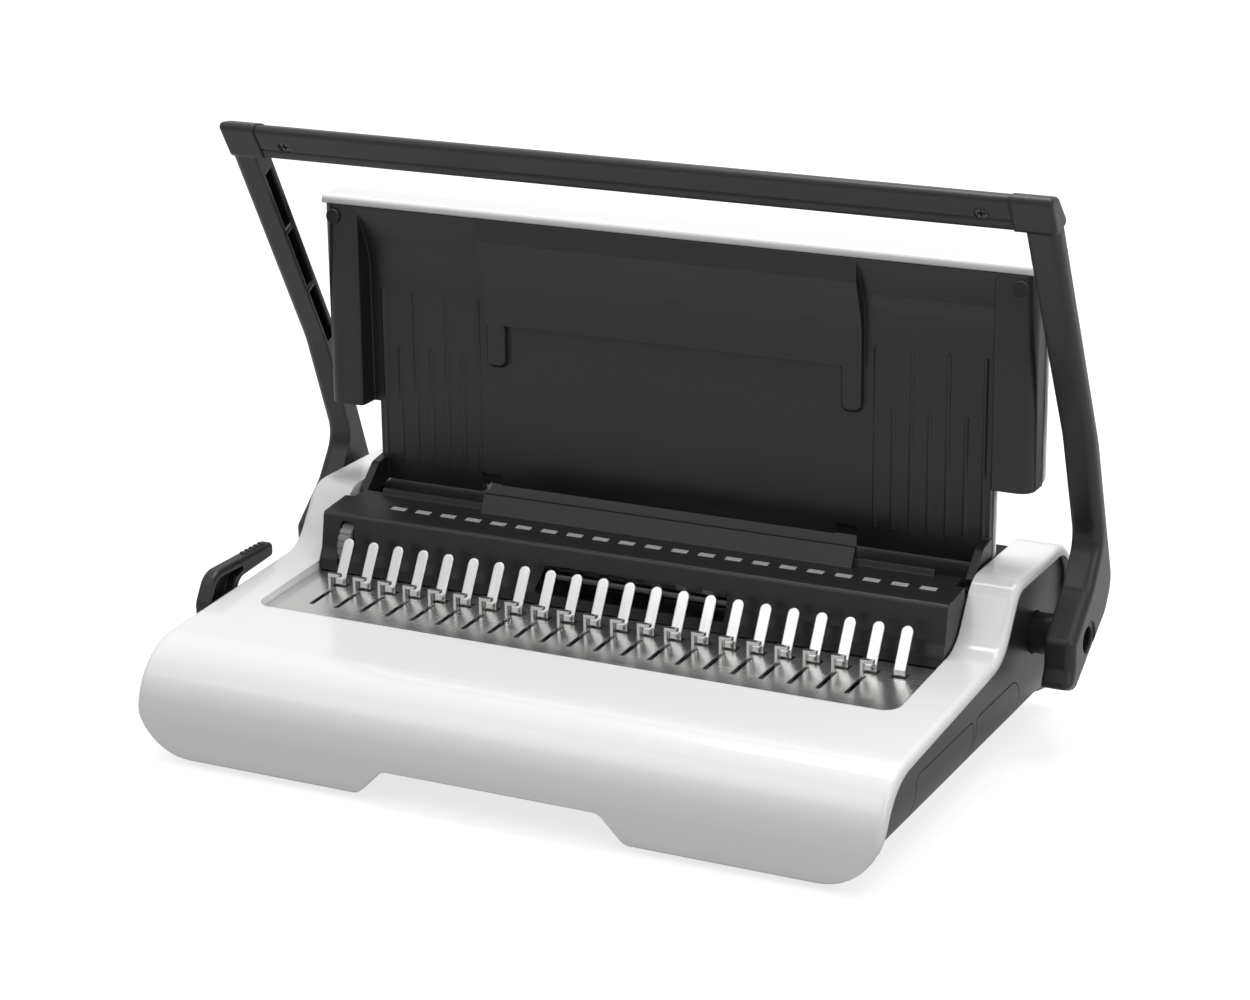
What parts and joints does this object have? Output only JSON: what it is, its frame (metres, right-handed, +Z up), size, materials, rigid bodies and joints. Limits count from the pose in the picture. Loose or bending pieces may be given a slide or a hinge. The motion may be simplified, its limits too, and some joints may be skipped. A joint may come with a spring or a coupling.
{
  "type": "comb binding machine",
  "caption": "Manual comb binding machine: lever handle punches sheets, comb fingers and hooks open a plastic comb, hinged lid, two side drawers.",
  "frame": {"origin": "on the table under the centre of the bounding box, with the handle up", "axes": "+Z up, +X to the right of someone at the front, +Y towards the back"},
  "size_m": [0.43, 0.249, 0.2835],
  "materials": {
    "white_shell": "gloss white moulding",
    "dark_plastic": "fine-grained charcoal moulding",
    "black_satin": "satin black",
    "grey_plastic": "light grey moulding",
    "rubber": "matt black",
    "steel": "brushed",
    "bright_steel": "bright plated",
    "bush_brass": "turned"
  },
  "bodies": {
    "base": {"top_cover": "white_shell", "side_panel_right": "dark_plastic", "side_panel_left": "dark_plastic", "base_pan": "dark_plastic", "foot_pads": "rubber", "frame_screws": "steel", "frame_right": "steel", "frame_left": "steel", "shaft_bush_right": "bush_brass", "shaft_bush_left": "bush_brass", "opener_bush_right": "bush_brass", "opener_bush_left": "bush_brass", "spring_tie_rod": "steel", "comb_plate": "steel", "comb_fingers": "bright_steel", "die_front_plate": "steel", "die_rear_plate": "steel", "die_spacer": "steel", "punch_cover": "dark_plastic", "window_rod": "steel", "rear_cover": "dark_plastic", "lid_hinge_pins": "steel", "return_springs": "steel"},
    "handle": {"handle_arm_right": "black_satin", "handle_arm_left": "black_satin", "handle_bar": "black_satin", "handle_screws": "steel", "main_shaft": "steel", "axle_sleeve_right": "black_satin", "axle_sleeve_left": "black_satin", "punch_cam_left": "steel", "punch_cam_right": "steel"},
    "punch": {"punch_bar": "steel", "punch_pins": "steel"},
    "lid": {"lid_shell": "white_shell", "lid_panel": "dark_plastic", "lid_bumpers": "rubber"},
    "opener": {"opener_lever": "dark_plastic", "opener_shaft": "steel", "opener_crank_left": "steel", "opener_crank_right": "steel"},
    "hooks": {"hook_slide": "steel"},
    "dial": {"edge_dial": "grey_plastic"},
    "guide": {"edge_guide": "grey_plastic"},
    "chip_drawer": {"chip_tray": "dark_plastic"},
    "storage_drawer": {"storage_tray": "dark_plastic"}
  },
  "joints": [
    {"name": "handle_swing", "type": "hinge", "parent": "base", "child": "handle", "pos_m": [0, 0.0795, 0.0545], "axis": [1, 0, 0], "range_deg": [0, 66], "stiffness_Nm_per_rad": 0.6, "springref_deg": -68.75},
    {"name": "punch_stroke", "type": "slide", "parent": "base", "child": "punch", "axis": [0, -1, 0], "range_m": [0, 0.00922], "deforming": ["return_springs"]},
    {"name": "lid_swing", "type": "hinge", "parent": "base", "child": "lid", "pos_m": [0, 0.053, 0.084], "axis": [1, 0, 0], "range_deg": [0, 102]},
    {"name": "opener_pull", "type": "hinge", "parent": "base", "child": "opener", "pos_m": [0, -0.042, 0.03], "axis": [1, 0, 0], "range_deg": [0, 90]},
    {"name": "hook_travel", "type": "slide", "parent": "base", "child": "hooks", "axis": [0, -1, 0], "range_m": [0, 0.017]},
    {"name": "dial_turn", "type": "hinge", "parent": "base", "child": "dial", "pos_m": [-0.1543, 0.02, 0.0695], "axis": [1, 0, 0], "range_deg": [-180, 180]},
    {"name": "guide_shift", "type": "slide", "parent": "base", "child": "guide", "axis": [1, 0, 0], "range_m": [-0.004, 0.004]},
    {"name": "chip_drawer_slide", "type": "slide", "parent": "base", "child": "chip_drawer", "axis": [1, 0, 0], "range_m": [0, 0.2]},
    {"name": "storage_drawer_slide", "type": "slide", "parent": "base", "child": "storage_drawer", "axis": [1, 0, 0], "range_m": [0, 0.16]}
  ],
  "couplings": [
    {"joint": "punch_stroke", "follows": "handle_swing", "m_per_rad": 0.008},
    {"joint": "hook_travel", "follows": "opener_pull", "m_per_rad": 0.0108},
    {"joint": "guide_shift", "follows": "dial_turn", "m_per_rad": 0.00127}
  ]
}
